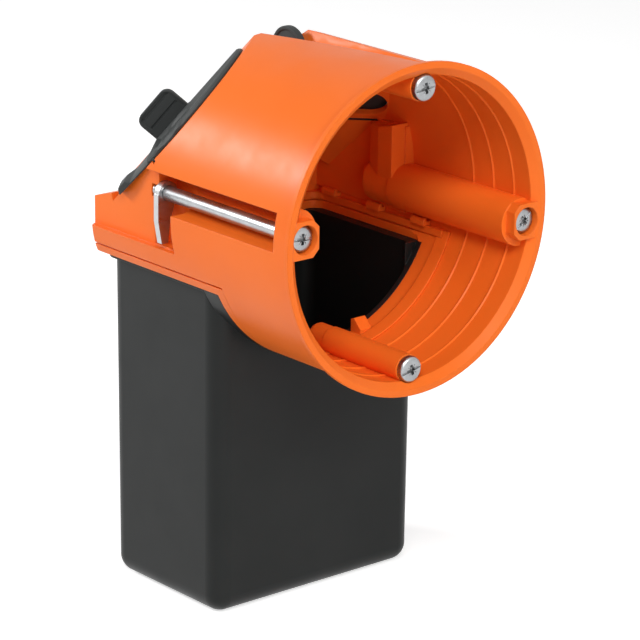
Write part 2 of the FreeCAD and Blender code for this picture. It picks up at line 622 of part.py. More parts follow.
pocket = cut("pocket", fuse("tray_and_collar", tray_outside, flange, collar), tray_inside, arch_opening)


# Soft cable seals on the hips and in the crown groove


def hip_plate(name, low, high, out, thick):
    span = s.body_depth
    item = bind(doc.addObject("Part::Box", name), Length=span, Width=thick, Height=as_size(high) - low)
    return hip_frame(item, ZERO, low, out)


def pull_tab(name):
    """The grip that stands on the seal, with rounded outer corners and two grip grooves."""
    body = new_body(name)
    profile = sketch_on(body, name + "_profile", "YZ_Plane")
    outline(profile, [(0, 0), (s.tab_height, 0), (s.tab_height, s.tab_length), (0, s.tab_length)])
    pad = body.newObject("PartDesign::Pad", name + "_pad")
    pad.Profile = profile
    bind(pad, Length=s.tab_thickness)
    doc.recompute()
    rounds = ["Edge%d" % number for number, edge in enumerate(pad.Shape.Edges, start=1)
              if abs(edge.tangentAt(edge.FirstParameter).x) > 0.9
              and edge.CenterOfMass.y > s.tab_height.value - 0.1]
    corners = body.newObject("PartDesign::Fillet", name + "_corners")
    corners.Base = (pad, rounds)
    bind(corners, Radius=s.tab_round)
    previous = corners
    for number, part_way in enumerate((0.5, 0.75), start=1):
        grip = sketch_on(body, "%s_grip_%d" % (name, number), "YZ_Plane", s.tab_groove)
        near = part_way * s.tab_height
        outline(grip, [(near, s.tab_groove_end), (near + s.tab_groove_width, s.tab_groove_end),
                       (near + s.tab_groove_width, s.tab_length - s.tab_groove_end),
                       (near, s.tab_length - s.tab_groove_end)])
        pocket_cut = body.newObject("PartDesign::Pocket", "%s_groove_%d" % (name, number))
        pocket_cut.Profile = grip
        bind(pocket_cut, Length=s.tab_groove + 1)
        doc.recompute()
        if pocket_cut.Shape.Volume > previous.Shape.Volume - 0.1:
            pocket_cut.Reversed = True
            doc.recompute()
        previous = pocket_cut
    return body


seal_face = s.seal_gap + s.seal_thickness
seal_limit = rod("seal_limit", s.tube_radius, (ZERO, s.body_depth + 20))
plate = hip_plate("seal_plate", s.seal_low, s.seal_high, s.seal_gap, s.seal_thickness)
plate_trim = cut("seal_plate_trim", common("seal_plate_round", plate, seal_limit),
                 roof("seal_plate_edge", s.seal_margin), groove("seal_groove", as_size(0.2)))
ring_top = seal_face + s.seal_ring_height
ring_inner = s.hip_hole_radius - 0.5 * s.seal_ring
ring = common("seal_ring_round",
              cut("seal_ring", hip_slot("seal_ring_outside", s.hip_hole_radius + s.seal_ring,
                                        s.seal_gap + 0.5 * s.seal_thickness, ring_top),
                  hip_slot("seal_ring_inside", ring_inner, -s.seal_thickness, ring_top + s.seal_thickness)),
              seal_limit)
dish = hip_slot("seal_dish", ring_inner, s.seal_web - s.seal_plug_depth, ring_top + s.seal_thickness)
plug = hip_slot("seal_plug", s.hip_hole_radius - s.seal_gap, -s.seal_plug_depth, seal_face - 0.3)
fin = clip_strip("seal_fin", ZERO, -s.wall, s.seal_gap + 0.5)
tab = hip_frame(pull_tab("seal_tab"), s.tab_reach, s.tab_low, s.seal_gap + 0.4)
seal_skin = fuse("seal_plate_and_plug", plate_trim, plug, ring, fin)
seal_left = fuse("seal_left", cut("seal_dished", seal_skin, dish), tab)
seal_right = mirror("seal_right", seal_left)

disc_web = s.disc_thickness - 2 * s.disc_rim_step
disc_ring = cut("disc_rim_ring", disc_plate("disc_rim_outside", s.disc_radius, s.disc_thickness),
                disc_plate("disc_rim_inside", s.disc_radius - s.disc_rim - 0.2, 3 * s.disc_thickness))
seal_top = fuse("seal_top", disc_plate("disc_body", s.disc_radius - 0.3, disc_web), disc_ring)


# Screws and claws


def screw(name, x, z, seat, tail):
    """A pan head screw along the tube's axis with a cross recess and the given tail profile."""
    face = seat - s.head_depth
    shape = turned(name + "_turned", [
        (0, face), (s.head_radius - s.head_round, face),
        (s.head_radius - 0.3 * s.head_round, face + 0.3 * s.head_round),
        (s.head_radius, face + s.head_round), (s.head_radius, seat), (s.screw_radius, seat), *tail])
    place(shape, x, 0, z)
    half_width, half_span = 0.5 * s.recess_width, 0.5 * s.recess_span
    across = block(name + "_recess_across", (x - half_span, x + half_span), (face - 1, face + s.recess_depth),
                   (z - half_width, z + half_width))
    upright = block(name + "_recess_upright", (x - half_width, x + half_width), (face - 1,
                                                                                 face + s.recess_depth),
                    (z - half_span, z + half_span))
    return cut(name, shape, across, upright)


def claw(name, side):
    """A sheet claw: a threaded eye on the screw and a tapered leg whose lower half is bent forward."""
    x, z = claw_point(side)
    rear = s.claw_front + s.claw_thickness
    knee = z + side * (s.claw_leg_length - s.claw_tip_length)
    tip = z + side * s.claw_leg_length
    sheet_leg = prism(name + "_bend", "YZ_Plane", [
        (s.claw_front, z), (rear, z), (rear, knee), (rear - s.claw_tip_lean, tip),
        (s.claw_front - s.claw_tip_lean, tip), (s.claw_front, knee)],
        x - 2 * s.claw_eye_radius, x + 2 * s.claw_eye_radius)
    outside = x + side * s.claw_leg_outside
    taper = prism(name + "_taper", "XZ_Plane", [
        (outside, z - side * 0.3), (outside, tip), (x + side * s.claw_tip_inside, tip),
        (x - side * s.claw_leg_inside, z + side * 2), (x - side * s.claw_leg_inside, z)],
        -rear - 1, -s.claw_front + 3)
    eye = rod(name + "_eye", s.claw_eye_radius, (s.claw_front, rear), x, z)
    hole = rod(name + "_hole", s.screw_radius + s.claw_bore_gap, (s.claw_front - 2, rear + 2), x, z)
    return cut(name, fuse(name + "_sheet", eye, common(name + "_leg", sheet_leg, taper)), hole)


shoulder = s.claw_screw_end - s.claw_tail_length
narrow_tail = [(s.screw_radius, shoulder), (s.claw_tail_radius, shoulder), (s.claw_tail_radius,
                                                                            s.claw_screw_end),
               (0, s.claw_screw_end)]
pointed_tail = [(s.screw_radius, s.device_screw_end - s.screw_tip),
                (s.screw_radius - s.screw_tip, s.device_screw_end), (0, s.device_screw_end)]
claw_screws = [screw("claw_screw_" + word, *claw_point(side), s.head_seat, narrow_tail) for side,
               word in SIDES]
claws = [claw("claw_" + word, side) for side, word in SIDES]
device_screw_top = screw("device_screw_top", top_x, top_z, s.device_boss_front, pointed_tail)
device_screw_bottom = screw("device_screw_bottom", low_x, low_z, s.device_boss_front, pointed_tail)


# Check and export

doc.recompute()
faults = [item.Name for item in doc.Objects if "Invalid" in item.State or "Error" in item.State]
nodes = [housing, pocket_frame, pocket, seal_left, seal_right, seal_top, *claw_screws, *claws,
         device_screw_top, device_screw_bottom]
for item in nodes:
    item.Label = item.Name
    shape = item.Shape
    if shape.isNull() or not shape.isValid() or len(shape.Solids) != 1:
        faults.append("%s with %d solids" % (item.Name, len(shape.Solids)))
    print("%-20s %9.1f mm3 %d solid" % (item.Name, shape.Volume, len(shape.Solids)))
for item in nodes:
    if not item.Shape.isNull():
        item.Shape.exportStep("parts/%s.step" % item.Label)
if faults:
    raise RuntimeError("faulty: " + ", ".join(faults))
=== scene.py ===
import json
import math

import bmesh
import bpy
from mathutils import Matrix, Vector


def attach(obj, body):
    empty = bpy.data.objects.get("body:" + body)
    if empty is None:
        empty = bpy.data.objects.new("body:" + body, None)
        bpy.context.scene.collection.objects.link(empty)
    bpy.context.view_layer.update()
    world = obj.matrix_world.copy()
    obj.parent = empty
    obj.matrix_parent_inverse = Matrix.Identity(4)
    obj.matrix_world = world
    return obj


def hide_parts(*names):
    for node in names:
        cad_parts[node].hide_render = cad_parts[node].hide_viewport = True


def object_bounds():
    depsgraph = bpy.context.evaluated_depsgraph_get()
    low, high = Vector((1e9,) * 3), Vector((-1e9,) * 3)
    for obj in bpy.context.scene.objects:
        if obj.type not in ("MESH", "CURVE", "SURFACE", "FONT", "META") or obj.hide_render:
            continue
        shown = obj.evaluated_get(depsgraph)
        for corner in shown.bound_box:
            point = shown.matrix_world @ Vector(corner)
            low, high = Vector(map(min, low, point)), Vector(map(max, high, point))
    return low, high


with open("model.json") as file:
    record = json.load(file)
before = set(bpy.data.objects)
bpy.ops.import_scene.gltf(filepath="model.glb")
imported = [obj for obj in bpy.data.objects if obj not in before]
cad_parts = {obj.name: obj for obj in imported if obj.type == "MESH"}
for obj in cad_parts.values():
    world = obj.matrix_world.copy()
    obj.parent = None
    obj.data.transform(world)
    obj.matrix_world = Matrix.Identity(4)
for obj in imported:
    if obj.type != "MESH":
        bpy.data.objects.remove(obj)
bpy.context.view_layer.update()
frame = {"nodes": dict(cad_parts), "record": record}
scene = bpy.context.scene
MM = 0.001
LEFT, RIGHT = -1, 1


# Materials


class Shader:
    """A node material built up by name."""

    def __init__(self, name, colour, roughness, metallic=0.0, specular=0.5):
        self.material = bpy.data.materials.new(name)
        self.material.use_nodes = True
        self.nodes = self.material.node_tree.nodes
        self.links = self.material.node_tree.links
        self.surface = self.nodes["Principled BSDF"]
        self.surface.inputs["Base Color"].default_value = (*colour, 1)
        self.surface.inputs["Roughness"].default_value = roughness
        self.surface.inputs["Metallic"].default_value = metallic
        self.surface.inputs["Specular IOR Level"].default_value = specular
        self.coordinates = self.nodes.new("ShaderNodeTexCoord").outputs["Object"]

    def noise(self, scale, detail, roughness=0.5, stretch=None):
        """A noise value over the object, drawn out along an axis if asked."""
        texture = self.nodes.new("ShaderNodeTexNoise")
        texture.inputs["Scale"].default_value = scale
        texture.inputs["Detail"].default_value = detail
        texture.inputs["Roughness"].default_value = roughness
        source = self.coordinates
        if stretch:
            mapping = self.nodes.new("ShaderNodeMapping")
            mapping.inputs["Scale"].default_value = stretch
            self.links.new(source, mapping.inputs["Vector"])
            source = mapping.outputs["Vector"]
        self.links.new(source, texture.inputs["Vector"])
        return texture.outputs["Fac"]

    def colours(self, value, low, high):
        """Base colour between two tones."""
        ramp = self.nodes.new("ShaderNodeValToRGB")
        for element, place, tone in zip(ramp.color_ramp.elements, (0.35, 0.65), (low, high)):
            element.position = place
            element.color = (*tone, 1)
        self.links.new(value, ramp.inputs["Fac"])
        self.links.new(ramp.outputs["Color"], self.surface.inputs["Base Color"])

    def gloss(self, value, low, high):
        """Roughness between two levels."""
        ranged = self.nodes.new("ShaderNodeMapRange")
        for socket, number in (("From Min", 0.3), ("From Max", 0.7), ("To Min", low), ("To Max", high)):
            ranged.inputs[socket].default_value = number
        self.links.new(value, ranged.inputs["Value"])
        self.links.new(ranged.outputs["Result"], self.surface.inputs["Roughness"])

    def rounded(self, radius):
        """Edges that catch the light as if rounded."""
        edge = self.nodes.new("ShaderNodeBevel")
        edge.samples = 6
        edge.inputs["Radius"].default_value = radius
        self.links.new(edge.outputs["Normal"], self.surface.inputs["Normal"])
        return edge.outputs["Normal"]

    def grained(self, value, distance, normal):
        """A fine relief on top of the rounded edges."""
        relief = self.nodes.new("ShaderNodeBump")
        relief.inputs["Strength"].default_value = 1.0
        relief.inputs["Distance"].default_value = distance
        self.links.new(value, relief.inputs["Height"])
        self.links.new(normal, relief.inputs["Normal"])
        self.links.new(relief.outputs["Normal"], self.surface.inputs["Normal"])


def moulded(name, low, high, roughness, edge, grain, specular):
    """Moulded plastic: flow marks in the colour, patchy gloss, rounded edges and a fine grain."""
    shader = Shader(name, low, roughness, specular=specular)
    shader.colours(shader.noise(38, 3.0, 0.55), low, high)
    shader.gloss(shader.noise(120, 4.0, 0.6), roughness - 0.04, roughness + 0.05)
    shader.grained(shader.noise(3500, 2.0), grain, shader.rounded(edge))
    return shader.material


def plated(name, low, high, roughness, stretch=None):
    """Zinc plated steel with a faint milky bloom and fine drawing marks."""
    shader = Shader(name, low, roughness, metallic=1.0)
    shader.colours(shader.noise(420, 4.0, 0.6), low, high)
    shader.gloss(shader.noise(900, 3.0, stretch=stretch), roughness - 0.05, roughness + 0.08)
    shader.rounded(0.0001)
    return shader.material


ORANGE = moulded("orange_plastic", (0.91, 0.168, 0.017), (0.94, 0.18, 0.021),
                 roughness=0.36, edge=0.0003, grain=0.000002, specular=0.16)
BLACK = moulded("black_plastic", (0.0112, 0.0127, 0.0123), (0.0136, 0.0151, 0.0147),
                roughness=0.42, edge=0.0003, grain=0.000005, specular=0.18)
SOFT = moulded("black_elastomer", (0.028, 0.031, 0.0305), (0.034, 0.037, 0.0365),
               roughness=0.55, edge=0.0002, grain=0.000006, specular=0.25)
ZINC = plated("zinc_plate", (0.35, 0.36, 0.37), (0.41, 0.42, 0.43), 0.3, (1, 0.15, 1))
# Darker zinc for the screw heads' recesses: painted shade standing in for the shadow inside them
ZINC_RECESS_SHADE = plated("zinc_painted_recess_shade", (0.26, 0.265, 0.27), (0.32, 0.325, 0.33), 0.3)
SHEET = plated("zinc_sheet", (0.4, 0.41, 0.415), (0.45, 0.455, 0.46), 0.32)

for name, material in (("housing", ORANGE), ("pocket_frame", ORANGE), ("pocket", BLACK),
                       ("claw_left", SHEET), ("claw_right", SHEET)):
    node = frame["nodes"][name]
    node.data.materials.clear()
    node.data.materials.append(material)


# Mesh building, in millimetres

MERGE = 0.0005


class Shape:
    """Points and faces gathered in millimetres."""

    def __init__(self):
        self.points, self.faces = [], []

    def skin(self, rows):
        """Joins rows of equally many points, each a closed loop, with quads."""
        start = len(self.points)
        count = len(rows[0])
        for row in rows:
            self.points += row
        for r in range(len(rows) - 1):
            for c in range(count):
                a, b = start + r * count + c, start + r * count + (c + 1) % count
                self.faces.append((a, b, b + count, a + count))

    def solid(self, rows):
        """A skin with a face over its first and its last row."""
        self.skin(rows)
        for row in (rows[0], rows[-1]):
            start = len(self.points)
            self.points += row
            self.faces.append(tuple(range(start, start + len(row))))

    def mesh(self, name):
        """The finished mesh in metres, doubled points merged and faces turned outward."""
        data = bpy.data.meshes.new(name)
        data.from_pydata([Vector(p) * MM for p in self.points], [], self.faces)
        work = bmesh.new()
        work.from_mesh(data)
        bmesh.ops.remove_doubles(work, verts=work.verts, dist=MERGE * MM)
        bmesh.ops.dissolve_degenerate(work, edges=work.edges, dist=MERGE * MM * 0.5)
        bmesh.ops.recalc_face_normals(work, faces=work.faces)
        work.to_mesh(data)
        work.free()
        return data

    def object(self, name, materials=(), smooth=30):
        item = bpy.data.objects.new(name, self.mesh(name))
        scene.collection.objects.link(item)
        for material in materials:
            item.data.materials.append(material)
        shade(item, smooth)
        return item


def shade(item, angle):
    """Smooth shading that keeps edges sharper than the angle."""
    limit = math.radians(angle)
    work = bmesh.new()
    work.from_mesh(item.data)
    for edge in work.edges:
        edge.smooth = len(edge.link_faces) == 2 and edge.calc_face_angle(0) < limit
    for face in work.faces:
        face.smooth = True
    work.to_mesh(item.data)
    work.free()


def cut_away(item, *tools):
    """Cuts closed tools out of an object for good."""
    for tool in tools:
        step = item.modifiers.new("cut", "BOOLEAN")
        step.operation = "DIFFERENCE"
        step.solver = "EXACT"
        step.object = tool
    result = bpy.data.meshes.new_from_object(item.evaluated_get(bpy.context.evaluated_depsgraph_get()))
    item.modifiers.clear()
    item.data = result
    for tool in tools:
        bpy.data.objects.remove(tool)


def join(item, extra, mirrored=False):
    """Adds a mesh to an object's own, and mirrors the whole from left to right if asked."""
    work = bmesh.new()
    work.from_mesh(item.data)
    work.from_mesh(extra)
    if mirrored:
        bmesh.ops.scale(work, vec=(-1, 1, 1), verts=work.verts)
        bmesh.ops.reverse_faces(work, faces=work.faces)
    work.to_mesh(item.data)
    work.free()


def body_of(node):
    """The moving body that a solid belongs to."""
    return next(body for body, nodes in frame["record"]["behaviour"]["bodies"].items() if node in nodes)


def stand_for(item, node):
    """Lets a scene object take a solid's place and move with its body."""
    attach(item, body_of(node))
    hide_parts(node)


# Screws

ROUND = 40
THREAD_STEPS = 8
TIP = 0.0001
SCREW_RADIUS = 1.6
HEAD_HEIGHT = 1.7
OVERLAP = 0.1
# The screws' circle, their angle on it and the depth of their heads' seats
CLAW_CIRCLE, CLAW_TURN, CLAW_SEAT = 30.7, math.radians(6.3), 2.9
DEVICE_CIRCLE, DEVICE_TURN, DEVICE_SEAT = 30.0, math.radians(2.35), 2.0
CLAW_NECK, CLAW_TAIL_RADIUS, CLAW_THREAD = 47.1, 1.15, (47.4, 49.1)
DEVICE_THREAD_END = 17.2


def ring(x, y, z, radius):
    turns = [2 * math.pi * i / ROUND for i in range(ROUND)]
    return [(x + radius * math.cos(t), y, z + radius * math.sin(t)) for t in turns]


def turned(x, z, profile):
    """Rows of a surface turned about the tube's direction through x, z; a radius of 0 closes it."""
    return [ring(x, y, z, max(radius, TIP)) for radius, y in profile]


def thread(x, z, root, crest, pitch, start, end):
    """Rows of a rolled thread between two depths; the flanks fade in and out at its ends."""
    rows = []
    total = round((end - start) / pitch * THREAD_STEPS)
    for i in range(total + 1):
        y = start + (end - start) * i / total
        fade = min(1.0, (y - start) / (0.5 * pitch), (end - y) / (0.5 * pitch))
        row = []
        for j in range(ROUND):
            turn = 2 * math.pi * j / ROUND
            phase = ((y - start) / pitch + j / ROUND) % 1.0
            height = min(1.0, max(0.0, 2.6 * min(phase, 1 - phase) - 0.15))
            radius = crest - (crest - root) * height * fade
            row.append((x + radius * math.cos(turn), y, z + radius * math.sin(turn)))
        rows.append(row)
    return rows


def wedge(x, z, turn, half_span, half_width, top, bottom, taper=1.0):
    """A recess cutter: a bar across the head that narrows on its way down."""
    levels = []
    for y, shrink in ((top, 1.0), (bottom, taper)):
        span = half_span * shrink
        corners = [(-span, -half_width), (span, -half_width), (span, half_width), (-span, half_width)]
        levels.append([(x + a * math.cos(turn) - b * math.sin(turn), y,
                        z + a * math.sin(turn) + b * math.cos(turn)) for a, b in corners])
    shape = Shape()
    shape.solid(levels)
    return shape.object("cutter")


def screw(name, node, x, z, seat, turn, tail):
    """A pan head screw with a slotted cross recess."""
    face = seat - HEAD_HEIGHT
    profile = [(0, face), (1.5, face), (2.1, face + 0.03), (2.4, face + 0.1), (2.62, face + 0.24),
               (2.76, face + 0.42), (2.84, face + 0.7), (2.85, face + 0.95), (2.85, seat - 0.2),
               (2.72, seat), (0, seat)]
    head = Shape()
    head.skin(turned(x, z, profile))
    item = head.object(name, [ZINC, ZINC_RECESS_SHADE])
    across = math.radians(turn)
    upright = across + math.pi / 2
    # The cross, the slot and two fine nicks between them; no two cutters share a plane
    cut_away(item,
             wedge(x, z, across, 1.75, 0.36, face - 1, face + 0.95, 0.45),
             wedge(x, z, upright, 1.72, 0.37, face - 1.2, face + 0.93, 0.45),
             wedge(x, z, across, 4.0, 0.33, face - 1.1, face + 0.4),
             wedge(x, z, across + math.pi / 4, 1.3, 0.09, face - 1.3, face + 0.18),
             wedge(x, z, across - math.pi / 4, 1.32, 0.09, face - 1.4, face + 0.17))
    # Painted shade: faces down inside the recess take the darker zinc
    for polygon in item.data.polygons:
        centre = polygon.center / MM
        away = math.hypot(centre.x - x, centre.z - z)
        polygon.material_index = 1 if face + 0.02 < centre.y < face + 1.2 and away < 1.9 else 0
    stem = Shape()
    for rows in tail(x, z, seat):
        stem.skin(rows)
    join(item, stem.mesh(name + "_stem"))
    shade(item, 32)
    stand_for(item, node)


def device_tail(x, z, seat):
    """A short stem, threaded almost from the head, with a blunt end."""
    start, end = seat + 0.6, DEVICE_THREAD_END
    return [turned(x, z, ((0, seat - OVERLAP), (SCREW_RADIUS, seat - OVERLAP), (SCREW_RADIUS, seat),
                          (1.5, seat + 0.25), (SCREW_RADIUS, start))),
            thread(x, z, 1.28, SCREW_RADIUS, 0.8, start, end),
            turned(x, z, ((SCREW_RADIUS, end), (1.28, 17.3), (1.2, 17.6), (0.95, 18.0), (0, 18.0)))]


def claw_tail(x, z, seat):
    """A long plain shank that steps down to a thin threaded end."""
    start, end = CLAW_THREAD
    radius = CLAW_TAIL_RADIUS
    return [turned(x, z, ((0, seat - OVERLAP), (SCREW_RADIUS, seat - OVERLAP), (SCREW_RADIUS, CLAW_NECK),
                          (1.5, 47.35), (radius, start))),
            thread(x, z, 0.98, radius, 0.5, start, end),
            turned(x, z, ((radius, end), (1.13, 49.3), (1.0, 49.4), (0.5, 49.36), (0, 49.3)))]


def claw_axis(side):
    return side * CLAW_CIRCLE * math.cos(CLAW_TURN), -side * CLAW_CIRCLE * math.sin(CLAW_TURN)


def device_axis(side):
    return side * DEVICE_CIRCLE * math.sin(DEVICE_TURN), side * DEVICE_CIRCLE * math.cos(DEVICE_TURN)


screw("screw_left", "claw_screw_left", *claw_axis(LEFT), CLAW_SEAT, -4, claw_tail)
screw("screw_right", "claw_screw_right", *claw_axis(RIGHT), CLAW_SEAT, 38, claw_tail)
screw("screw_top", "device_screw_top", *device_axis(RIGHT), DEVICE_SEAT, 8, device_tail)
screw("screw_bottom", "device_screw_bottom", *device_axis(LEFT), DEVICE_SEAT, 14, device_tail)


# Soft cable seals, in the left hip's own axes: along and up the facet, and out of it

YAW, TILT, HIP_REACH = math.radians(45.6), math.radians(39.6), 50.2
ROOF_LEAN, ROOF_REACH, ROOF_MARGIN = math.radians(35.9), 71.7, 0.8
SEAL_REACH, LOW_NARROWING = 33.95, 0.45
SEAL_LOW, SEAL_HIGH = -30.5, -1.2
SEAL_FOOT, EDGE_LEVEL = 0.3, 0.9
OPENING_NEAR, OPENING_FAR, OPENING_UP, OPENING_RADIUS = 15.0, 24.0, -22.5, 3.9
STRAP_START, STRAP_LENGTH = -27.2, 13.8
# The crown groove, which the seals keep clear of
GROOVE_FRONT, GROOVE_LENGTH, GROOVE_SWING = 5.0, 50.0, math.radians(5.4)
GROOVE_X, GROOVE_Z, GROOVE_GROWTH, GROOVE_MARGIN = 6.0, 34.3, 6.4, 0.9


def on_hip(along, up, out):
    """A point on the left hip in the part's own axes."""
    far = HIP_REACH + out
    level = far * math.cos(TILT) - up * math.sin(TILT)
    return (along * math.cos(YAW) - level * math.sin(YAW),
            along * math.sin(YAW) + level * math.cos(YAW),
            far * math.sin(TILT) + up * math.cos(TILT))


def smooth_step(value, start, end):
    """An eased rise from 0 at the start to 1 at the end."""
    part = min(1.0, max(0.0, (value - start) / (end - start)))
    return part * part * (3 - 2 * part)


def bell(value, middle, half):
    """A rounded bump of height 1 round the middle."""
    part = abs(value - middle) / half
    return 0.0 if part >= 1 else 0.5 + 0.5 * math.cos(math.pi * part)


def reach(up):
    """How far from the tube's axis the seal's near edge may stand at a height on the hip."""
    return SEAL_REACH - LOW_NARROWING * smooth_step(-up, 26.5, 29.5)


def room(along, up):
    """How far a point on the hip is inside the seal's outline; negative outside."""
    x, y, z = on_hip(along, up, EDGE_LEVEL)
    groove_x = GROOVE_X - math.tan(GROOVE_SWING) * (y - GROOVE_FRONT)
    groove_radius = GROOVE_GROWTH * (y - GROOVE_FRONT) / GROOVE_LENGTH
    return min(reach(up) - math.hypot(x, z),
               (ROOF_REACH - y) * math.cos(ROOF_LEAN) - z * math.sin(ROOF_LEAN) - ROOF_MARGIN,
               up - SEAL_LOW, SEAL_HIGH - up, along,
               math.hypot(x - groove_x, z - GROOVE_Z) - GROOVE_MARGIN - groove_radius)


def bisect(high, steps, fits):
    """The two ends of the last interval between 0, where the test holds, and high, where it doesn't."""
    low = 0.0
    for _ in range(steps):
        half = 0.5 * (low + high)
        low, high = (half, high) if fits(half) else (low, half)
    return low, high


def outline(middle, count):
    """Points on the seal's edge, seen from a point inside it, with the corners eased."""
    edge = []
    for i in range(count):
        turn = 2 * math.pi * i / count

        def ray(distance):
            return middle[0] + distance * math.cos(turn), middle[1] + distance * math.sin(turn)

        edge.append(ray(bisect(40.0, 40, lambda distance: room(*ray(distance)) > 0)[0]))
    for _ in range(3):
        edge = [tuple(0.25 * a + 0.5 * b + 0.25 * c
                      for a, b, c in zip(edge[i - 1], edge[i], edge[(i + 1) % count]))
                for i in range(count)]
    return edge


def from_opening(along, up):
    """Distance outside the cable opening's round-ended slot; negative inside."""
    nearest = min(OPENING_FAR, max(OPENING_NEAR, along))
    return math.hypot(along - nearest, up - OPENING_UP) - OPENING_RADIUS


def outer_skin(along, up, edge_distance):
    """Height above the facet: a beaded edge, a ring round the opening and thin rings in its membrane."""
    away = from_opening(along, up)
    height = 0.5 + 0.4 * smooth_step(edge_distance, 0.0, 0.4) - 0.55 * smooth_step(edge_distance, 1.3, 2.3)
    height += 0.25 * bell(edge_distance, 0.9, 0.6)
    height += 0.2 * bell(away, 0.6, 1.0)
    height += 0.1 * bell(away, 2.6, 0.5) * smooth_step(edge_distance, 1.4, 2.4)
    height -= 0.12 * smooth_step(away, 0.0, -0.9)
    for middle in (-1.3, -2.1, -2.9):
        height += 0.12 * bell(away, middle, 0.3)
    return height


def inner_skin(along, up):
    """Height of the face that lies on the facet and sinks a little into the opening."""
    return 0.06 - 0.34 * smooth_step(from_opening(along, up), -0.1, -0.3)


def plate(shape):
    """The seal's body over the opening, in rings that close in on its middle."""
    middle = (0.5 * (OPENING_NEAR + OPENING_FAR), OPENING_UP)
    rings = 70
    edge = outline(middle, 220)
    upper, lower = [], []
    for i in range(rings + 1):
        part = max(0.012, 1 - (1 - i / rings) ** 1.25)
        high, deep = [], []
        for edge_along, edge_up in edge:
            along = middle[0] + (edge_along - middle[0]) * part
            up = middle[1] + (edge_up - middle[1]) * part
            gap = max(0.0, min(room(along, up), math.hypot(edge_along - along, edge_up - up)))
            high.append(on_hip(along, up, outer_skin(along, up, gap)))
            deep.append(on_hip(along, up, inner_skin(along, up)))
        upper.append(high)
        lower.append(deep)
    side = [on_hip(along, up, SEAL_FOOT) for along, up in edge]
    shape.solid(upper + [side] + lower[::-1])


def strap(shape):
    """The thin web that runs on down the hip and ends in a narrow knob."""
    rows = []
    count = 34
    for i in range(count + 1):
        up = STRAP_START - STRAP_LENGTH * i / count

        def beyond_edge(along):
            x, _, z = on_hip(along, up, EDGE_LEVEL)
            return math.hypot(x, z) > reach(up)

        near = bisect(25.0, 30, beyond_edge)[1]
        knob = smooth_step(up, -37.0, -37.8)
        width = 17.0 - 4.0 * smooth_step(-up, 30, 37) - 6.5 * knob
        end = smooth_step(up, -41.1, -39.8)
        height = SEAL_FOOT + (0.08 + knob) * math.sqrt(max(end, 0.02))
        profile = [(0, 0.06), (0, SEAL_FOOT), (0.12, height - 0.1), (0.35, height),
                   (0.5 * width, height + 0.06), (width - 0.35, height), (width - 0.1, height - 0.12),
                   (width, SEAL_FOOT), (width, 0.06)]
        rows.append([on_hip(near + a, up, o) for a, o in profile])
    shape.solid(rows)


def plug(shape):
    """The seal's filling of the cable opening, seen from inside the tube."""
    levels = []
    for out, inset in ((0.45, 0.0), (-0.1, 0.0), (-0.28, 0.2), (-0.28, 1.2), (-0.2, 1.5)):
        radius = OPENING_RADIUS - 0.05 - inset
        row = []
        for middle, start in ((OPENING_FAR, -90), (OPENING_NEAR, 90)):
            for i in range(17):
                turn = math.radians(start + 180 * i / 16)
                along, up = middle + radius * math.cos(turn), OPENING_UP + radius * math.sin(turn)
                row.append(on_hip(along, up, out))
        levels.append(row)
    shape.solid(levels)


def bar(shape, along, up, out):
    """A plain bar with softened edges."""
    trim = 0.12
    sections = []
    for a, inset in ((along[0], trim), (along[0] + trim, 0), (along[1] - trim, 0), (along[1], trim)):
        low, high = up[0] + inset, up[1] - inset
        top = out[1] - inset
        sections.append([on_hip(a, low, out[0]), on_hip(a, low, top - trim), on_hip(a, low + trim, top),
                         on_hip(a, high - trim, top), on_hip(a, high, top - trim), on_hip(a, high, out[0])])
    shape.solid(sections)


TAB_NEAR, TAB_FAR = 31.0, 32.3
TAB_LOW, TAB_HIGH, TAB_TOP, TAB_ROUNDING = -29.8, -19.4, 7.05, 2.0
GRIP_LEVELS, GRIP_LOW, GRIP_HIGH, GRIP_RADIUS = (3.35, 5.85), -28.4, -20.6, 0.24


def tab_level(along, inset, foot_inset=0.0):
    """The pull tab's outline at one depth: straight at the foot, round at its two outer corners."""
    radius = TAB_ROUNDING - inset
    foot = SEAL_FOOT + foot_inset
    points = [(TAB_LOW + inset, foot), (TAB_HIGH - inset, foot)]
    for middle, start in ((TAB_HIGH - TAB_ROUNDING, 0), (TAB_LOW + TAB_ROUNDING, 90)):
        for i in range(9):
            turn = math.radians(start + 90 * i / 8)
            points.append((middle + radius * math.cos(turn),
                           TAB_TOP - TAB_ROUNDING + radius * math.sin(turn)))
    return [on_hip(along, up, out) for up, out in points]


def tab(shape):
    """The pull tab: a raised border round a panel on both faces."""
    faces = ((0.18, 0.75, 0.5), (0.16, 0.62, 0.4), (0.0, 0.5, 0.3), (0.0, 0.16, 0.0), (0.14, 0.0, 0.0))
    shape.solid([tab_level(TAB_NEAR + sunk, inset, foot) for sunk, inset, foot in faces]
                + [tab_level(TAB_FAR - sunk, inset, foot) for sunk, inset, foot in faces[::-1]])


def grip_groove(shape, along, out):
    """A round-ended groove cutter across the tab."""
    levels = []
    for a in along:
        row = []
        for middle, start in ((GRIP_HIGH, 0), (GRIP_LOW, 180)):
            for i in range(9):
                turn = math.radians(start - 90 + 180 * i / 8)
                up = middle + GRIP_RADIUS * math.cos(turn)
                row.append(on_hip(a, up, out + GRIP_RADIUS * math.sin(turn)))
        levels.append(row)
    shape.solid(levels)


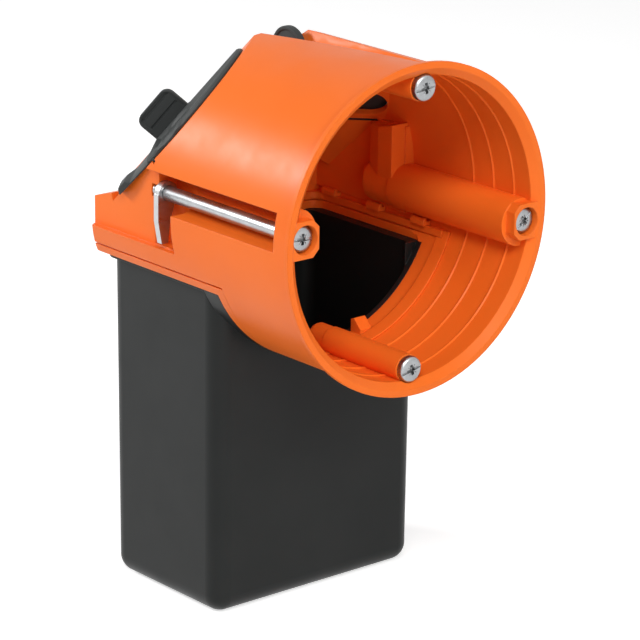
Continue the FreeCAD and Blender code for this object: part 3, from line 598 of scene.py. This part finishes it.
def hip_seal(name, node, side):
    """A whole seal, made on the left hip and mirrored for the right one."""
    grip = Shape()
    tab(grip)
    tab_item = grip.object(name + "_tab", [SOFT], 35)
    grooves = Shape()
    for out in GRIP_LEVELS:
        grip_groove(grooves, (TAB_NEAR - 1, TAB_NEAR + 0.56), out)
        grip_groove(grooves, (TAB_FAR - 0.46, TAB_FAR + 1.2), out)
    cut_away(tab_item, grooves.object("cutter"))
    body = Shape()
    plate(body)
    strap(body)
    plug(body)
    # The lip in the housing's slit, and the tab's foot
    bar(body, (12.2, 25.95), (-28.7, -28.1), (-1.5, SEAL_FOOT))
    bar(body, (31.3, 33.0), (-30.1, -19.1), (SEAL_FOOT, 0.95))
    item = body.object(name, [SOFT], 40)
    join(item, tab_item.data, mirrored=side == RIGHT)
    bpy.data.objects.remove(tab_item)
    shade(item, 40)
    stand_for(item, node)


hip_seal("hip_seal_left", "seal_left", LEFT)
hip_seal("hip_seal_right", "seal_right", RIGHT)


# The disc that stands in the rear end of the crown groove

DISC_X, DISC_Y, DISC_Z = 4.8, 48.6, 28.7
DISC_STEPS = 64
# Radius and distance from the disc's middle plane
DISC_HALF = [(TIP, 0.42), (2.0, 0.42), (2.3, 0.5), (2.6, 0.42), (4.2, 0.45), (4.45, 0.74), (4.7, 0.8),
             (5.0, 0.78), (5.18, 0.6), (5.2, 0.3)]


def disc_row(radius, x):
    turns = [2 * math.pi * i / DISC_STEPS for i in range(DISC_STEPS)]
    return [(DISC_X + x, DISC_Y + radius * math.cos(t), DISC_Z + radius * math.sin(t)) for t in turns]


disc = Shape()
disc.skin([disc_row(radius, -x) for radius, x in DISC_HALF]
          + [disc_row(radius, x) for radius, x in DISC_HALF[::-1]])
stand_for(disc.object("groove_disc", [SOFT], 35), "seal_top")


# The pocket's two front corners, filled between the tray's rounding and the tube's outside

CORNER_PLAN = [(25.5, 33.35), (26.4, 33.33), (27.4, 33.33), (28.4, 33.33), (28.62, 33.5), (28.62, 34.3),
               (28.62, 35.0), (27.7, 35.0), (27.2, 34.9), (26.6, 34.2), (26.0, 33.75)]
CORNER_TOP, COLLAR_RADIUS = -14.95, 33.15


def corner_level(side, part):
    """The plan at one height, from the collar's round inside at 0 to the level top at 1."""
    level = []
    for x, y in CORNER_PLAN:
        low = -math.sqrt(COLLAR_RADIUS ** 2 - x * x)
        level.append((side * x, y, low + (CORNER_TOP - low) * part))
    return level


for name, side in (("pocket_corner_left", LEFT), ("pocket_corner_right", RIGHT)):
    corner = Shape()
    corner.solid([corner_level(side, part) for part in (0.0, 0.02, 0.5, 0.98, 1.0)])
    item = corner.object(name, [BLACK])
    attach(item, "box")


# Floor and surroundings

FLOOR_HALF, FLOOR_GAP = 4, 0.0002


def watched(nodes, links):
    """1 for what the camera, a gloss or a transparent surface sees, 0 for the light on the object."""
    path = nodes.new("ShaderNodeLightPath")
    total = path.outputs["Is Camera Ray"]
    for ray in ("Is Glossy Ray", "Is Transmission Ray"):
        larger = nodes.new("ShaderNodeMath")
        larger.operation = "MAXIMUM"
        links.new(total, larger.inputs[0])
        links.new(path.outputs[ray], larger.inputs[1])
        total = larger.outputs[0]
    return total


def two_levels(tree, unseen, seen, socket):
    """Feeds a socket with one level for the light on the object and one for what is seen."""
    level = tree.nodes.new("ShaderNodeMapRange")
    level.inputs["To Min"].default_value = unseen
    level.inputs["To Max"].default_value = seen
    tree.links.new(watched(tree.nodes, tree.links), level.inputs["Value"])
    tree.links.new(level.outputs["Result"], socket)


def floor_material():
    """A pale matt floor that keeps the object's shadow."""
    material = bpy.data.materials.new("floor_white")
    material.use_nodes = True
    surface = material.node_tree.nodes["Principled BSDF"]
    surface.inputs["Base Color"].default_value = (0.86, 0.86, 0.86, 1)
    surface.inputs["Roughness"].default_value = 0.9
    surface.inputs["Specular IOR Level"].default_value = 0.1
    surface.inputs["Emission Color"].default_value = (1, 1, 1, 1)
    two_levels(material.node_tree, 0.0, 0.62, surface.inputs["Emission Strength"])
    return material


floor_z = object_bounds()[0].z - FLOOR_GAP
corners = [(x * FLOOR_HALF, y * FLOOR_HALF, floor_z) for x, y in ((-1, -1), (1, -1), (1, 1), (-1, 1))]
floor_mesh = bpy.data.meshes.new("floor")
floor_mesh.from_pydata(corners, [], [(0, 1, 2, 3)])
floor = bpy.data.objects.new("floor", floor_mesh)
scene.collection.objects.link(floor)
floor.data.materials.append(floor_material())

world = bpy.data.worlds.new("studio")
world.use_nodes = True
scene.world = world
background = world.node_tree.nodes["Background"]
background.inputs["Color"].default_value = (1, 1, 1, 1)
two_levels(world.node_tree, 0.05, 1.0, background.inputs["Strength"])


# Lamps


def lamp(name, place, target, width, height, power):
    """A rectangular lamp that faces its target and isn't seen itself."""
    data = bpy.data.lights.new(name, "AREA")
    data.energy = power
    data.shape = "RECTANGLE"
    data.size = width
    data.size_y = height
    item = bpy.data.objects.new(name, data)
    scene.collection.objects.link(item)
    item.location = place
    item.rotation_mode = "QUATERNION"
    item.rotation_quaternion = (Vector(target) - Vector(place)).to_track_quat("-Z", "Y")
    item.visible_camera = False


middle = Vector((0, 0.03, 0))
front = (0, 0.02, -0.01)
lamp("left_back_bank", middle + Vector((-0.555, 0.728, 0.401)) * 0.9, middle, 0.24, 0.16, 5.0)
lamp("left_key", (-0.6, -0.6, 0.8), front, 0.4, 0.4, 6.4)
lamp("front_fill", (-0.35, -1.05, 0.3), front, 0.4, 0.4, 1.6)
lamp("front_key", (0.05, -0.95, 0.62), front, 0.4, 0.4, 4.8)


# Camera, at the photograph's own angle and distance

AZIMUTH, ELEVATION, ROLL = math.radians(-40.193), math.radians(17.577), math.radians(0.645)
PLACE = Vector((-0.4521, -0.5034, 0.1948))
SENSOR = 36.0
# Focal length and picture width in pixels, and a little more lens so the object fills the picture
FOCAL, PICTURE, ZOOM = 3315.4, 640, 1.03

data = bpy.data.cameras.new("camera")
camera = bpy.data.objects.new("camera", data)
scene.collection.objects.link(camera)
scene.camera = camera
back = Vector((math.sin(AZIMUTH) * math.cos(ELEVATION), -math.cos(AZIMUTH) * math.cos(ELEVATION),
               math.sin(ELEVATION)))
right = Vector((math.cos(AZIMUTH), math.sin(AZIMUTH), 0))
up = back.cross(right)
right, up = right * math.cos(ROLL) + up * math.sin(ROLL), up * math.cos(ROLL) - right * math.sin(ROLL)
camera.matrix_world = Matrix.Translation(PLACE) @ Matrix((right, up, back)).transposed().to_4x4()
data.sensor_width = SENSOR
data.lens = FOCAL / PICTURE * SENSOR * ZOOM
data.clip_start, data.clip_end = 0.01, 20
scene.view_settings.view_transform = "Standard"
